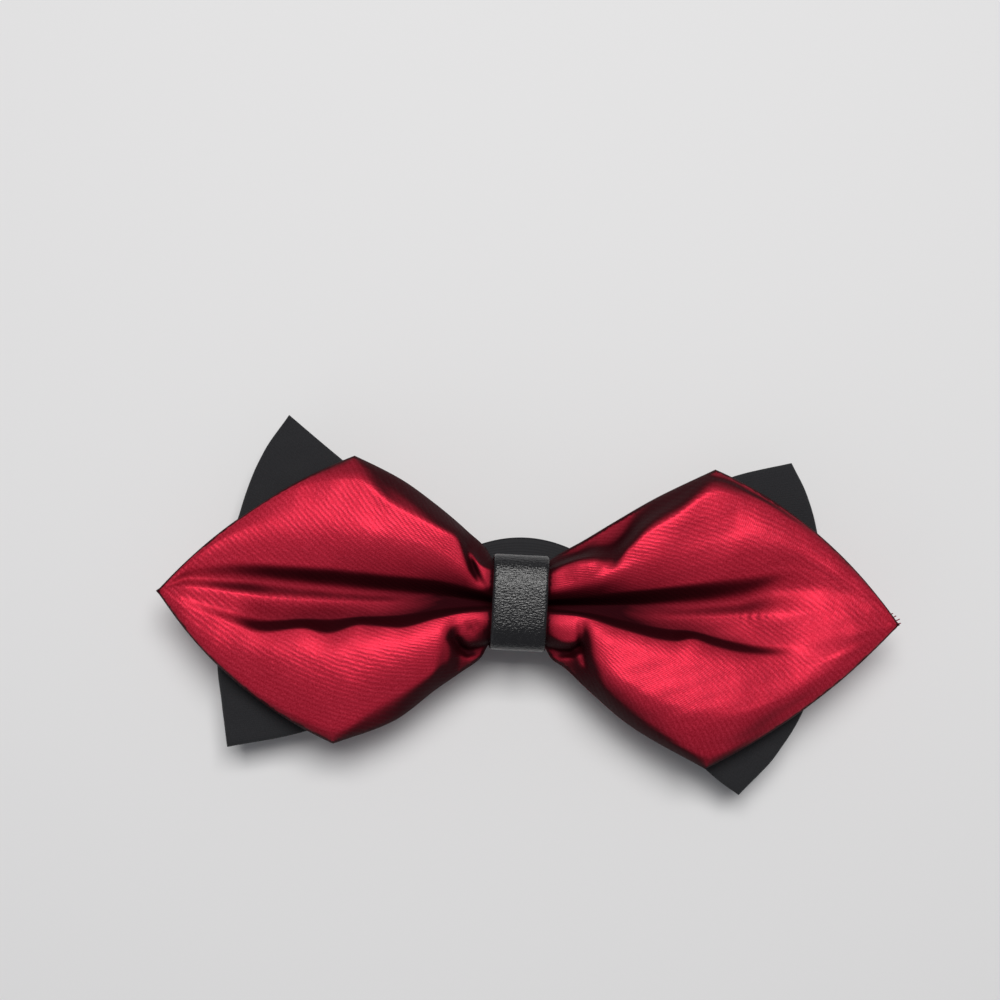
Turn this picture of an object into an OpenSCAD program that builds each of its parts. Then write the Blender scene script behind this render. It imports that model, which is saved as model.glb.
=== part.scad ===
// Pre-tied double bow tie, lying on its back with the neck strap folded flat behind it.
// The origin is under the middle of the bow, on the surface that it lies on. X runs along
// the bow, Y runs up the bow, and Z points away from the wearer. Lengths are in millimetres.

/* [Front bow] */
// Length from pointed tip to pointed tip
front_w = 130; // [120:1:140]
// Height over the shoulders of a wing
front_h = 51.5; // [46:0.5:56]
// Distance from the knot to the shoulders of a wing
front_shoulder = 31.5; // [28:0.5:36]
// How far the knot sits to the left of the middle of the bow
pinch_shift = 2; // [0:0.5:3]
// Height of the folds in the middle of a wing
front_fold = 2.6; // [1.5:0.1:2.8]

/* [Back bow] */
// Length over the rounded ends
back_w = 106; // [98:1:112]
// Height over the square corners
back_h = 57; // [52:0.5:62]
// How far a rounded end stands out from its corners
back_bulge = 7; // [4:0.5:9]
// How far the back bow is turned clockwise against the front bow, in degrees
back_turn = 4; // [0:0.5:6]

/* [Fabric] */
// Thickness of one fabric panel
panel_t = 0.5; // [0.4:0.05:0.6]
// Distance between the panels and the interlining between them
panel_pitch = 0.8; // [0.75:0.05:0.9]
// Distance that the interlining stops short of the seams
lining_inset = 2; // [1:0.5:4]

/* [Knot] */
// Width of the centre band
band_w = 9.6; // [8:0.2:12]
// Thickness of the centre band
band_t = 1; // [0.8:0.1:1.1]
// Outer height of the centre band
band_h = 16.6; // [16:0.2:18]
// Half the height of the pinched fabric
pinch_h = 6.5; // [6:0.1:6.6]
// Thickness of the thread that binds each pinch
thread_t = 0.3; // [0.2:0.05:0.3]

/* [Neck strap] */
// Width of the strap
strap_w = 19; // [16:0.5:20]
// Thickness of the strap
strap_t = 0.8; // [0.6:0.05:0.85]
// Distance of the strap's centre line above the middle of the knot
strap_y = 2.2; // [1.5:0.1:3]
// Height of the arch in the strap's upper edge behind the knot
arch_h = 1; // [0.5:0.1:1.5]

/* [Clasp] */
// Width of the metal inside the strap's loops
clasp_bar_l = 20.4; // [20.2:0.1:21]
// Radius of the hook's and the eye's bars
bar_r = 0.72; // [0.6:0.01:0.74]
// Thickness of the stamped metal
metal_t = 0.8; // [0.7:0.05:0.9]
// Angle at which the loose eye droops at rest, in degrees
eye_droop = 17; // [10:1:17]

/* [Hidden] */
$fn = 48;

red = [0.62, 0.08, 0.13];
dark_red = [0.45, 0.05, 0.09];
black = [0.09, 0.09, 0.1];
leather_black = [0.16, 0.16, 0.17];
canvas = [0.85, 0.82, 0.75];
steel = [0.75, 0.75, 0.77];

knot_x = -pinch_shift;
gap = 0.3;
small_gap = 0.1;

// Heights of the strap's runs, counted from the surface upwards
run_b_z = metal_t + 0.2;
wrap_z = run_b_z + strap_t + small_gap;
slider_bar_t = 0.6;
slider_bar_z = wrap_z + strap_t + 0.05;
return_z = slider_bar_z + slider_bar_t + 0.05;
run_c2_z = return_z + strap_t + 0.4;
run_c_z = run_c2_z + strap_t + 0.4;
run_a_z = run_c_z + strap_t + 0.4;

// Heights in the knot
band_z = run_a_z + strap_t + 0.2;
band_in_z = band_z + 2 * band_t;
back_mid_z = band_in_z + small_gap + thread_t + small_gap + panel_pitch + panel_t / 2;
front_binding_z = back_mid_z + panel_pitch + panel_t / 2 + small_gap + thread_t + gap;
front_reach = front_fold + panel_pitch + panel_t / 2;
front_mid_z = front_binding_z + thread_t + small_gap + front_reach;
band_top_z = front_mid_z + front_reach + small_gap + thread_t + small_gap + band_t;

// Ends of the strap's runs
strap_left = -47;
strap_right = 49;
inner_left = -44;
hook_x = 14.5;
eye_x = 43;
slider_x = -36;
loop_stub = 4;
wrap_stub = 5;
fold_in_r = bar_r + 0.08;
eye_tail_z = run_c2_z - 2 * fold_in_r - strap_t;
eye_tail_l = 4.5;
stitch_t = 0.08;

// Corners of the wings, as seen from the knot: [upper shoulder, tip, lower shoulder]
tip_drop = 1;
left_len = front_w / 2 - pinch_shift;
right_len = front_w / 2 + pinch_shift;
front_left = [
    [-front_shoulder + 1.5, front_h / 2 - 1], [-left_len, -tip_drop],
    [-front_shoulder + 1, -front_h / 2]
];
front_right = [
    [front_shoulder + 2, front_h / 2 - 1], [right_len, -tip_drop],
    [front_shoulder + 2, -front_h / 2 - 1]
];
back_corner_x = back_w / 2 - back_bulge;

columns = 8;
rows = 16;
front_rise = 2.5;
back_rise = 1.4;

function mix(a, b, t) = a * (1 - t) + b * t;
function turned(p, angle) = [
    p[0] * cos(angle) - p[1] * sin(angle),
    p[0] * sin(angle) + p[1] * cos(angle)
];

// A pointed end: straight from each shoulder to the tip
function front_end(corners, v) =
    v < 0 ? mix(corners[1], corners[2], -v) : mix(corners[1], corners[0], v);

// A rounded end between two square corners
function back_end(side, v) = turned(
    [side * (back_corner_x + back_bulge * (1 - v * v)), v * back_h / 2],
    -back_turn
);

// One wing's point on plan: u runs from the knot to the end, v from the lower to the upper edge
function plan_point(end, side, u, v) =
    let (
        start = [side * band_w / 2, v * pinch_h],
        middle = mix(start, end, 0.5) - [0, 0.12 * v * abs(end[1])]
    )
    mix(mix(start, middle, u), mix(middle, end, u), u) + [knot_x, 0];

// Height of the front bow: folds that fade from the knot to the end, and a low crown
function front_z(u, v) =
    front_mid_z - front_fold * cos(330 * v) * pow(1 - u, 0.6)
    + front_rise * sin(180 * u) * (1 - v * v) - 1.5 * u;

// Height of the back bow: flat, sinking towards the strap away from the knot
function back_z(u, v) =
    back_mid_z - min(1, 3 * u) * back_rise + 1.2 * sin(180 * u) * (1 - v * v);

function front_point(side, u, v) =
    let (end = front_end(side < 0 ? front_left : front_right, v))
    let (p = plan_point(end, side, u, v))
    [p[0], p[1], front_z(u, v)];

function back_point(side, u, v) =
    let (p = plan_point(back_end(side, v), side, u, v))
    [p[0], p[1], back_z(u, v)];

function surface_point(front, side, u, v) =
    front ? front_point(side, u, v) : back_point(side, u, v);

// Grid of points over both wings, from the left end through the knot to the right end
function bow_grid(front, lift, reach_u, reach_v) = [
    for (i = [0 : 2 * columns + 1], j = [0 : rows])
        let (
            side = i <= columns ? -1 : 1,
            u = (i <= columns ? columns - i : i - columns - 1) / columns * reach_u,
            v = (2 * j / rows - 1) * reach_v
        )
        surface_point(front, side, u, v) + [0, 0, lift]
];

function strip_faces(a, b) = [
    for (k = [0 : len(a) - 2])
        for (f = [[a[k], b[k], b[k + 1]], [a[k], b[k + 1], a[k + 1]]])
            f
];

// A thin closed panel over both wings
module bow_panel(front, level, inset = 0) {
    reach_u = 1 - inset / 50;
    reach_v = 1 - inset / 30;
    mid = level * panel_pitch;
    low = bow_grid(front, mid - panel_t / 2, reach_u, reach_v);
    high = bow_grid(front, mid + panel_t / 2, reach_u, reach_v);
    last = 2 * columns + 1;
    n = len(low);
    line = rows + 1;
    top = [for (i = [0 : last - 1])
        strip_faces(
            [for (j = [0 : rows]) n + i * line + j],
            [for (j = [0 : rows]) n + (i + 1) * line + j]
        )];
    bottom = [for (i = [0 : last - 1])
        strip_faces(
            [for (j = [0 : rows]) (i + 1) * line + j],
            [for (j = [0 : rows]) i * line + j]
        )];
    rim = concat(
        [for (i = [0 : last]) i * line],
        [for (j = [1 : rows]) last * line + j],
        [for (i = [1 : last]) (last - i) * line + rows],
        [for (j = [1 : rows]) rows - j]
    );
    wall = strip_faces([for (k = rim) k + n], rim);
    polyhedron(
        points = concat(low, high),
        faces = concat([for (s = top) each s], [for (s = bottom) each s], wall)
    );
}

// A rectangle with round corners, centred on the origin
module round_rect(w, h, r) {
    square([w - 2 * r, h], center = true);
    square([w, h - 2 * r], center = true);
    for (x = [-1, 1], y = [-1, 1])
        translate([x * (w / 2 - r), y * (h / 2 - r)])
            circle(r);
}

// A ring round the pinched fabric, from one height to another
module pinch_ring(length, height, low, high, wall, r) {
    translate([knot_x - length / 2, 0, (low + high) / 2])
        rotate([90, 0, 90])
            linear_extrude(length)
                difference() {
                    round_rect(height, high - low, r);
                    round_rect(height - 2 * wall, high - low - 2 * wall, r - wall * 0.8);
                }
}

// A flat run of the strap between two places along X
module strap_run(x0, x1, z) {
    translate([x0, strap_y - strap_w / 2, z])
        cube([x1 - x0, strap_w, strap_t]);
}

// A half-round fold in the strap: side 1 opens to the left, side -1 to the right
module strap_fold(x, low, high, side) {
    outer = (high - low) / 2;
    translate([x, strap_y + strap_w / 2, (low + high) / 2])
        rotate([90, 0, 0])
            linear_extrude(strap_w)
                intersection() {
                    difference() {
                        circle(outer);
                        circle(outer - strap_t);
                    }
                    translate([side * outer, 0])
                        square([2 * outer, 2 * outer], center = true);
                }
}

// A row of thread stitches across the strap
module stitch_row(x, z) {
    count = 8;
    length = 1.4;
    margin = 1.5;
    pitch = (strap_w - 2 * margin) / count;
    for (i = [0 : count - 1])
        translate([x - length / 2, strap_y - strap_w / 2 + margin + (i + 0.2) * pitch, z])
            cube([length, pitch * 0.6, stitch_t]);
}

module front_bow_face() {
    color(red)
        bow_panel(true, 1);
}

module front_bow_interlining() {
    color(canvas)
        bow_panel(true, 0, lining_inset);
}

module front_bow_rear() {
    color(dark_red)
        bow_panel(true, -1);
}

module front_bow_binding() {
    color(dark_red)
        pinch_ring(
            4, 2 * (pinch_h + small_gap + thread_t), front_binding_z,
            front_mid_z + front_reach + small_gap + thread_t, thread_t, 1
        );
}

module back_bow_face() {
    color(black)
        bow_panel(false, 1);
}

module back_bow_interlining() {
    color(canvas)
        bow_panel(false, 0, lining_inset);
}

module back_bow_rear() {
    color(black)
        bow_panel(false, -1);
}

module back_bow_binding() {
    color(black)
        pinch_ring(
            4, 2 * (pinch_h + small_gap + thread_t), band_in_z + small_gap / 2,
            front_binding_z - gap / 2, thread_t, 0.5
        );
}

// One strip round the knot, its two ends lapped at the rear
module centre_band() {
    lap_l = 10;
    color(leather_black) {
        pinch_ring(band_w, band_h, band_z, band_top_z, band_t, 2.2);
        translate([knot_x - band_w / 2, -lap_l / 2, band_z + band_t])
            cube([band_w, lap_l, band_t - small_gap]);
    }
}

module centre_band_stitches() {
    stitches = 4;
    pitch = 2;
    stitch_l = 1.2;
    stitch_w = 0.4;
    first_x = knot_x - ((stitches - 1) * pitch + stitch_l) / 2;
    color(black)
        for (i = [0 : stitches - 1])
            translate([first_x + i * pitch, -stitch_w / 2, band_in_z - small_gap + 0.01])
                cube([stitch_l, stitch_w, stitch_t]);
}

// Thread bars that tack the band to the strap, under the strap's front run
module strap_tacks() {
    tack_l = 5;
    tack_w = 0.6;
    tack_t = 0.2;
    color(black)
        for (y = [-4, 4])
            translate([knot_x - tack_l / 2, y - tack_w / 2, run_a_z - tack_t - 0.05])
                cube([tack_l, tack_w, tack_t]);
}

// The strap from the eye's loop, through its folds, to the run that the slider rides on
module neck_strap() {
    arch_w = 24;
    arch_r = (arch_w * arch_w / 4 + arch_h * arch_h) / (2 * arch_h);
    color(black) {
        strap_run(strap_left, strap_right, run_a_z);
        translate([knot_x, strap_y + strap_w / 2 - arch_r + arch_h, run_a_z])
            intersection() {
                cylinder(h = strap_t, r = arch_r, $fn = 96);
                translate([-arch_w / 2, arch_r - arch_h - 1, 0])
                    cube([arch_w, arch_h + 2, strap_t]);
            }
        strap_fold(strap_left, run_b_z, run_a_z + strap_t, -1);
        strap_run(strap_left, hook_x - loop_stub, run_b_z);
        strap_fold(strap_right, run_c_z, run_a_z + strap_t, 1);
        strap_run(inner_left, strap_right, run_c_z);
        strap_fold(inner_left, run_c2_z, run_c_z + strap_t, -1);
        strap_run(inner_left, eye_x, run_c2_z);
        strap_fold(eye_x, eye_tail_z, run_c2_z + strap_t, 1);
        strap_run(eye_x - eye_tail_l, eye_x, eye_tail_z);
    }
}

// The fold of the strap that holds the hook
module hook_loop() {
    color(black) {
        strap_run(hook_x - loop_stub + small_gap, hook_x, run_b_z);
        strap_fold(hook_x, run_b_z, return_z + strap_t, 1);
        strap_run(hook_x - loop_stub + small_gap, hook_x, return_z);
    }
}

// The doubled layer between the slider and the hook
module strap_return() {
    color(black)
        strap_run(slider_x + wrap_stub + small_gap, hook_x - loop_stub, return_z);
}

// The strap's end, turned round the slider's middle bar and sewn to itself
module slider_wrap() {
    fold_x = slider_x - 0.9;
    color(black) {
        strap_run(fold_x, slider_x + wrap_stub, return_z);
        strap_run(fold_x, slider_x + wrap_stub, wrap_z);
        strap_fold(fold_x, wrap_z, return_z + strap_t, -1);
    }
}

module slider_end_stitches() {
    color(black)
        stitch_row(slider_x + wrap_stub - 1.2, return_z + strap_t + 0.05);
}

module eye_loop_stitches() {
    color(black)
        stitch_row(eye_x - eye_tail_l + 2, eye_tail_z - stitch_t - 0.05);
}

// Three-bar slider: a flat ring outside the strap and a middle bar behind it
module slider() {
    ring_l = 10;
    ring_w = clasp_bar_l + 4;
    bar_w = 2;
    post_w = (ring_w - clasp_bar_l) / 2;
    color(steel)
        translate([slider_x, strap_y, 0]) {
            linear_extrude(metal_t)
                difference() {
                    round_rect(ring_l, ring_w, 1.8);
                    round_rect(ring_l - 2 * bar_w, clasp_bar_l, 0.6);
                }
            for (side = [-1, 1])
                translate([-1, side * (clasp_bar_l + post_w) / 2 - post_w / 2, 0])
                    cube([2, post_w, slider_bar_z + slider_bar_t]);
            translate([-1, -ring_w / 2, slider_bar_z])
                cube([2, ring_w, slider_bar_t]);
        }
}

// A bar in the strap's fold with an arm at each end, and a plate that joins the arms
module clasp_end(plate_x, plate_l) {
    arm_w = 1.3;
    rotate([90, 0, 0])
        cylinder(h = clasp_bar_l, r = bar_r, center = true);
    for (side = [-1, 1])
        translate([-bar_r, side * (clasp_bar_l + arm_w) / 2 - arm_w / 2, -metal_t / 2])
            cube([plate_x + bar_r + 0.5, arm_w, metal_t]);
    translate([plate_x, -clasp_bar_l / 2 - arm_w, -metal_t / 2])
        cube([plate_l, clasp_bar_l + 2 * arm_w, metal_t]);
}

// Flat hook: its tongue turns down and back to catch the eye
module hook() {
    tongue_w = 8;
    tongue_l = 10.5;
    curl_r = 1.5;
    lip_l = 3.5;
    bar_z = (run_b_z + return_z + strap_t) / 2;
    plate_x = 2.4;
    plate_l = 3;
    neck_x = plate_x + plate_l - 0.2;
    color(steel)
        translate([hook_x, strap_y, bar_z]) {
            clasp_end(plate_x, plate_l);
            translate([neck_x, -tongue_w / 2, -metal_t / 2])
                cube([tongue_l - curl_r - neck_x, tongue_w, metal_t]);
            translate([tongue_l - curl_r, tongue_w / 2, metal_t / 2 - bar_z / 2 - metal_t / 4])
                rotate([90, 0, 0])
                    linear_extrude(tongue_w)
                        intersection() {
                            difference() {
                                circle((bar_z + metal_t / 2) / 2);
                                circle((bar_z + metal_t / 2) / 2 - metal_t);
                            }
                            translate([2, 0])
                                square([4, 8], center = true);
                        }
            translate([tongue_l - curl_r - lip_l, -tongue_w / 2, -bar_z])
                cube([lip_l, tongue_w, metal_t]);
        }
}

// Flat eye: a plate with a slot that takes the hook's tongue, drooping from its loop
module eye() {
    plate_x = 2.4;
    plate_l = 8.2;
    slot_l = 3.6;
    slot_w = 10;
    bar_z = run_c2_z - fold_in_r;
    color(steel)
        translate([eye_x, strap_y, bar_z])
            rotate([0, eye_droop, 0])
                difference() {
                    clasp_end(plate_x, plate_l);
                    translate([plate_x + 2.2, -slot_w / 2, -metal_t])
                        cube([slot_l, slot_w, 2 * metal_t]);
                }
}

front_bow_face();
front_bow_interlining();
front_bow_rear();
front_bow_binding();
back_bow_face();
back_bow_interlining();
back_bow_rear();
back_bow_binding();
centre_band();
centre_band_stitches();
strap_tacks();
neck_strap();
hook_loop();
strap_return();
slider_wrap();
slider_end_stitches();
eye_loop_stitches();
slider();
hook();
eye();
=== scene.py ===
"""Looks of the bow tie: fabric, leather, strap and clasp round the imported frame. Lengths are in
millimetres until a mesh is made; the frame and every Blender object are in metres."""
import math

import bmesh
import bpy
import numpy as np
from mathutils import Matrix, Vector


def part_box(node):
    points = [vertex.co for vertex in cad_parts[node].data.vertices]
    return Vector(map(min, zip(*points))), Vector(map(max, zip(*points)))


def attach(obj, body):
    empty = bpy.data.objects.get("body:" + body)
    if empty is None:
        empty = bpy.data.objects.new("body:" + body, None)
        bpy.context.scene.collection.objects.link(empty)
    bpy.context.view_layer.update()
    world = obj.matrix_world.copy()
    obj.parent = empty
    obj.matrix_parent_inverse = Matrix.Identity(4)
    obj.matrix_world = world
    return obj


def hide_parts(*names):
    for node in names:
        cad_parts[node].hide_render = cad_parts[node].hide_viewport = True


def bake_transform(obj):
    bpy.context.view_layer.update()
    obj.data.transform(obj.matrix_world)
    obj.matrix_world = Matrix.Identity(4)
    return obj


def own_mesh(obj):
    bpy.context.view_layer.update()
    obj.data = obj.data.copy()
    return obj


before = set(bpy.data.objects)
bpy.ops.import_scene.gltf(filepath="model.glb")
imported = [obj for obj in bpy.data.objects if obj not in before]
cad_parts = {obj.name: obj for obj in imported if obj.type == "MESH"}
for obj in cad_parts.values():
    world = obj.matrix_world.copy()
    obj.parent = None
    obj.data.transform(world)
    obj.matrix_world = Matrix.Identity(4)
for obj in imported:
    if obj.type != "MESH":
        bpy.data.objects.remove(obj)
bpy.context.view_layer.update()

MM = 0.001


def node_box(name):
    """Lowest and highest corners of a CAD node, in millimetres."""
    low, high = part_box(name)
    return np.array(low) / MM, np.array(high) / MM


BAND_LOW, BAND_HIGH = node_box("centre_band")
STRAP_LOW, STRAP_HIGH = node_box("neck_strap")
BACK_LOW, BACK_HIGH = node_box("back_bow_face")
KNOT_X = (BAND_LOW[0] + BAND_HIGH[0]) / 2
BAND_HALF = (BAND_HIGH[0] - BAND_LOW[0]) / 2
EYE_BAR = (43.0, 3.8)
EYE_TAIL = 4.5


# ---------------------------------------------------------------- camera, floor and light

PICTURE_TURN = math.radians(2.8)
CAMERA_AT = (-12.0, -5.0, 305.0)
CAMERA_AIM = (-6.2, 17.8, 17.0)
LENS = 59.4


def make_camera():
    camera = bpy.data.objects.new("camera", bpy.data.cameras.new("camera"))
    camera.data.lens = LENS
    camera.data.sensor_width = 36
    camera.data.clip_start = 0.01
    back = (Vector(CAMERA_AT) - Vector(CAMERA_AIM)).normalized()
    up = Vector((-math.sin(PICTURE_TURN), math.cos(PICTURE_TURN), 0))
    right = up.cross(back).normalized()
    up = back.cross(right)
    turn = Matrix((right, up, back)).transposed().to_4x4()
    camera.matrix_world = Matrix.Translation(Vector(CAMERA_AT) * MM) @ turn
    bpy.context.scene.collection.objects.link(camera)
    bpy.context.scene.camera = camera


def make_area_light(name, at, aim, size, power, color):
    light = bpy.data.lights.new(name, "AREA")
    light.shape = "RECTANGLE"
    light.size, light.size_y = size
    light.energy = power
    light.color = color
    lamp = bpy.data.objects.new(name, light)
    lamp.location = at
    lamp.rotation_euler = (Vector(aim) - Vector(at)).to_track_quat("-Z", "Y").to_euler()
    bpy.context.scene.collection.objects.link(lamp)


def make_stage():
    bpy.context.scene.view_settings.view_transform = "Standard"
    world = bpy.data.worlds.new("studio")
    world.use_nodes = True
    world.node_tree.nodes["Background"].inputs["Color"].default_value = (0.93, 0.95, 1, 1)
    world.node_tree.nodes["Background"].inputs["Strength"].default_value = 0.16
    bpy.context.scene.world = world
    half = 2.0
    mesh = bpy.data.meshes.new("floor")
    mesh.from_pydata(
        [(-half, -half, 0), (half, -half, 0), (half, half, 0), (-half, half, 0)],
        [], [(0, 1, 2, 3)],
    )
    floor = bpy.data.objects.new("floor", mesh)
    paper = bpy.data.materials.new("floor_paper")
    paper.use_nodes = True
    paper.node_tree.nodes["Principled BSDF"].inputs["Base Color"].default_value = (
        0.78, 0.78, 0.79, 1,
    )
    paper.node_tree.nodes["Principled BSDF"].inputs["Roughness"].default_value = 0.8
    mesh.materials.append(paper)
    bpy.context.scene.collection.objects.link(floor)
    make_area_light("softbox", (0.0, 0.22, 0.74), (0, 0, 0.01), (0.42, 0.28), 5.0, (1, 0.99, 0.97))
    make_area_light("fill", (-0.5, -0.5, 0.5), (0, 0, 0.01), (0.5, 0.5), 0.25, (0.95, 0.97, 1))


make_camera()
make_stage()


# ---------------------------------------------------------------- curves and grids

def smooth_curve(xs, ys, q):
    """Value at q of the monotone cubic through the points (xs, ys), one row of points for
    each q or one for all."""
    q = np.asarray(q, float)
    xs = np.broadcast_to(xs, q.shape + np.shape(xs)[-1:])
    ys = np.broadcast_to(ys, xs.shape)
    step = np.diff(xs)
    slope = np.diff(ys) / step
    before, after = slope[..., :-1], slope[..., 1:]
    w1 = 2 * step[..., 1:] + step[..., :-1]
    w2 = step[..., 1:] + 2 * step[..., :-1]
    same = before * after > 0
    blend = w1 / np.where(same, before, 1) + w2 / np.where(same, after, 1)
    inner = np.where(same, (w1 + w2) / blend, 0)
    tangent = np.concatenate([slope[..., :1], inner, slope[..., -1:]], axis=-1)
    k = (q[..., None] >= xs[..., 1:-1]).sum(axis=-1, keepdims=True)

    def pick(values):
        return np.take_along_axis(values, k, axis=-1)[..., 0]

    h = pick(step)
    t = np.clip((q - pick(xs[..., :-1])) / h, 0, 1)
    y0, y1 = pick(ys[..., :-1]), pick(ys[..., 1:])
    m0, m1 = pick(tangent[..., :-1]) * h, pick(tangent[..., 1:]) * h
    return (
        y0 * (1 + 2 * t) * (1 - t) ** 2 + m0 * t * (1 - t) ** 2
        + y1 * t * t * (3 - 2 * t) - m1 * t * t * (1 - t)
    )


def along(points, r, column=1):
    """One column of a list of (r, ...) points, as a smooth function of r."""
    p = np.array(points, float)
    return smooth_curve(p[:, 0], p[:, column], np.clip(r, p[0, 0], p[-1, 0]))


def smoothstep(t):
    t = np.clip(t, 0, 1)
    return t * t * (3 - 2 * t)


def wave_noise(x, y, scale, seed):
    """Soft, repeatable unevenness between about -1 and 1, from a few crossed waves."""
    draw = np.random.RandomState(seed)
    total = np.zeros_like(x)
    waves = 7
    for _ in range(waves):
        angle, phase = draw.uniform(0, math.tau, 2)
        length = scale * draw.uniform(0.7, 1.6)
        across = x * math.cos(angle) + y * math.sin(angle)
        total += np.sin(across * math.tau / length + phase)
    return total / math.sqrt(waves) / 1.4


def distance_to(path, x, y):
    """Distance from the points (x, y) to a path of straight pieces."""
    return nearest_on([(a, b, 0) for a, b in path], x, y)[0]


def nearest_on(path, x, y):
    """Distance to a path of (x, y, value) points, and the value where it is nearest."""
    best = np.full(x.shape, 1e9)
    value = np.zeros(x.shape)
    for (ax, ay, av), (bx, by, bv) in zip(path[:-1], path[1:]):
        dx, dy = bx - ax, by - ay
        t = np.clip(((x - ax) * dx + (y - ay) * dy) / (dx * dx + dy * dy), 0, 1)
        d = np.hypot(x - ax - t * dx, y - ay - t * dy)
        value = np.where(d < best, av + (bv - av) * t, value)
        best = np.minimum(best, d)
    return best, value


def shell(name, upper, lower, cloth, material, shade=None):
    """A closed thin piece between two grids of points in millimetres, with its cloth coordinates as a UV
    map and, as an attribute, the painted shade of each point in folds and on steep flanks."""
    nu, nv = upper.shape[:2]
    points = np.concatenate([upper.reshape(-1, 3), lower.reshape(-1, 3)]) * MM
    index = np.arange(nu * nv).reshape(nu, nv)
    a, b, c, d = index[:-1, :-1], index[1:, :-1], index[1:, 1:], index[:-1, 1:]
    top = np.stack([a, b, c, d], -1).reshape(-1, 4)
    bottom = np.stack([d, c, b, a], -1).reshape(-1, 4) + nu * nv
    walls = [index[0, ::-1], index[-1, :], index[:, 0], index[::-1, -1]]
    sides = [
        np.stack([w[:-1] + nu * nv, w[1:] + nu * nv, w[1:], w[:-1]], -1) for w in walls
    ]
    faces = np.concatenate([top, bottom] + sides)
    mesh = bpy.data.meshes.new(name)
    mesh.from_pydata(points.tolist(), [], faces.tolist())
    uv = mesh.uv_layers.new(name="cloth")
    both = np.concatenate([cloth.reshape(-1, 2)] * 2)
    corner = np.zeros(len(mesh.loops), np.int32)
    mesh.loops.foreach_get("vertex_index", corner)
    uv.data.foreach_set("uv", both[corner].astype(np.float32).ravel())
    # Painted shade for folds and flanks, which the satin reads to darken its colour.
    if shade is not None:
        depth = mesh.attributes.new("fold_depth", "FLOAT", "POINT")
        depth.data.foreach_set("value", np.concatenate([shade.ravel()] * 2).astype(np.float32))
    mesh.materials.append(material)
    face_outwards(mesh)
    mesh.shade_smooth()
    piece = bpy.data.objects.new(name, mesh)
    bpy.context.scene.collection.objects.link(piece)
    return piece


def face_outwards(mesh):
    shape = bmesh.new()
    shape.from_mesh(mesh)
    bmesh.ops.recalc_face_normals(shape, faces=shape.faces)
    shape.to_mesh(mesh)
    shape.free()
    mesh.update()


# ---------------------------------------------------------------- materials

class Nodes:
    """A material's node tree, with short calls for what the materials share."""

    def __init__(self, name, **settings):
        self.material = bpy.data.materials.new(name)
        self.material.use_nodes = True
        self.tree = self.material.node_tree
        self.shader = self.tree.nodes["Principled BSDF"]
        for socket, value in settings.items():
            self.shader.inputs[socket.replace("_", " ")].default_value = value

    def add(self, kind, **inputs):
        node = self.tree.nodes.new("ShaderNode" + kind)
        for socket, value in inputs.items():
            self.put(node, socket.replace("_", " "), value)
        return node

    def put(self, node, socket, value):
        key = int(socket) if socket.isdigit() else socket
        if isinstance(value, bpy.types.NodeSocket):
            self.tree.links.new(value, node.inputs[key])
        else:
            node.inputs[key].default_value = value

    def math(self, operation, a, b=0.0):
        node = self.tree.nodes.new("ShaderNodeMath")
        node.operation = operation
        self.put(node, "0", a)
        self.put(node, "1", b)
        return node.outputs[0]

    def cloth(self):
        node = self.tree.nodes.new("ShaderNodeUVMap")
        node.uv_map = "cloth"
        return node.outputs[0]

    def position(self):
        return self.add("TexCoord").outputs["Object"]

    def noise(self, vector, scale, detail=2.0, roughness=0.5):
        node = self.add("TexNoise", Vector=vector, Scale=scale, Detail=detail, Roughness=roughness)
        return node.outputs["Fac"]

    def dot(self, vector, direction):
        node = self.tree.nodes.new("ShaderNodeVectorMath")
        node.operation = "DOT_PRODUCT"
        self.put(node, "0", vector)
        self.put(node, "1", direction)
        return node.outputs["Value"]

    def ribs(self, vector, angle, pitch, wobble=None):
        """A wave from 0 to 1 whose lines fall to the right by angle, pitch apart."""
        k = math.tau / pitch
        phase = self.dot(vector, (k * math.sin(angle), k * math.cos(angle), 0))
        if wobble is not None:
            phase = self.math("ADD", phase, wobble)
        return self.math("MULTIPLY_ADD", self.math("SINE", phase), 0.5)

    def range(self, value, low, high, to_low, to_high):
        node = self.add("MapRange")
        for socket, v in zip(range(5), (value, low, high, to_low, to_high)):
            self.put(node, str(socket), v)
        return node.outputs[0]

    def mix(self, factor, a, b, blend="MIX"):
        node = self.tree.nodes.new("ShaderNodeMix")
        node.data_type = "RGBA"
        node.blend_type = blend
        self.put(node, "0", factor)
        for socket, value in (("6", a), ("7", b)):
            self.put(node, socket, value if isinstance(value, bpy.types.NodeSocket) else (*value, 1))
        return node.outputs[2]

    def bump(self, height, distance, strength=1.0, normal=None):
        node = self.add("Bump", Height=height, Distance=distance, Strength=strength)
        if normal is not None:
            self.put(node, "Normal", normal)
        return node.outputs[0]

    def finish(self, **sockets):
        for socket, value in sockets.items():
            self.put(self.shader, socket.replace("_", " "), value)
        return self.material


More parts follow.
